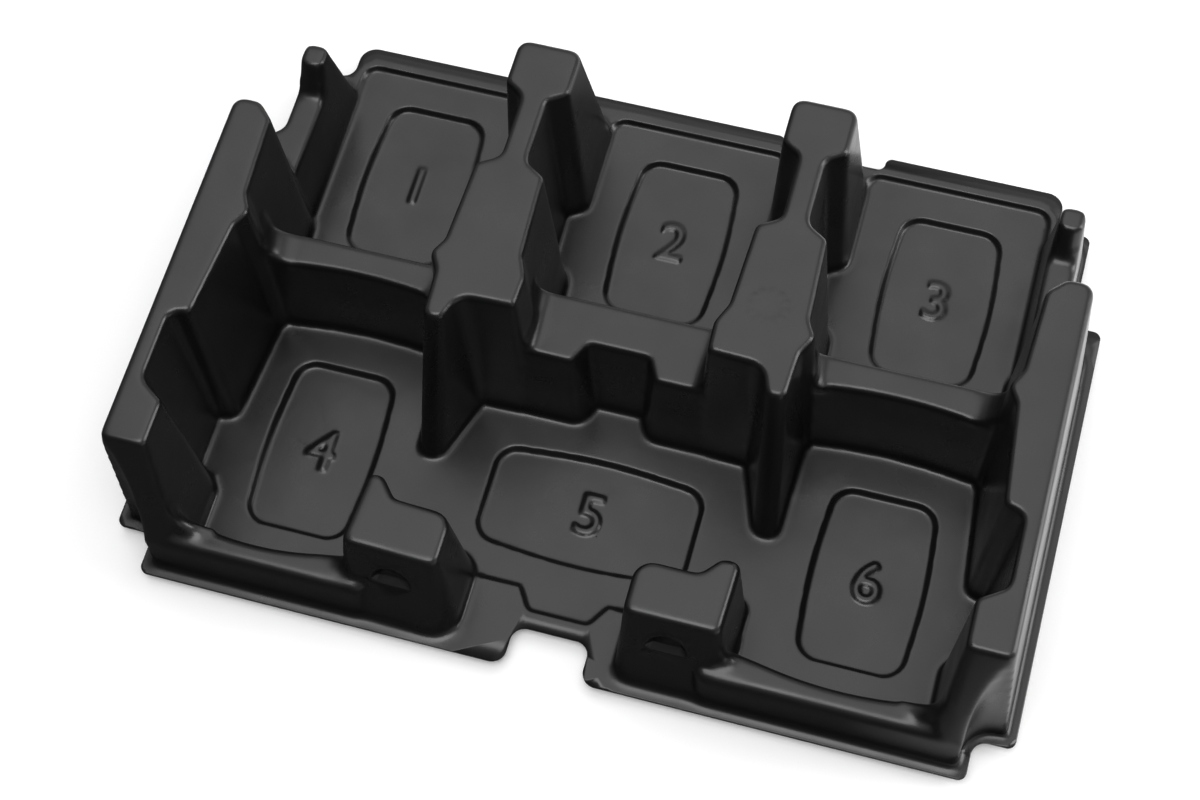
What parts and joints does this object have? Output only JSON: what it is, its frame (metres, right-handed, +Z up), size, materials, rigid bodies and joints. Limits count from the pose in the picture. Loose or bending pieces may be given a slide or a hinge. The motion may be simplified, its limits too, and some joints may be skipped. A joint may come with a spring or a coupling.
{
  "type": "thermoformed tray",
  "caption": "Shallow black thermoformed tray with six rounded pockets, bone-shaped dividers, side ledges and a notched flange.",
  "frame": {"origin": "under the middle of the flange, level with the underside of the sunken panels that the tray stands on", "axes": "+X along the long side, to the right; +Y to the back, away from the two front blocks; +Z up out of the pockets"},
  "size_m": [0.38, 0.2704, 0.0925],
  "materials": {
    "sheet": "satin black, as formed"
  },
  "bodies": {
    "root": {"tray": "sheet"}
  },
  "joints": []
}
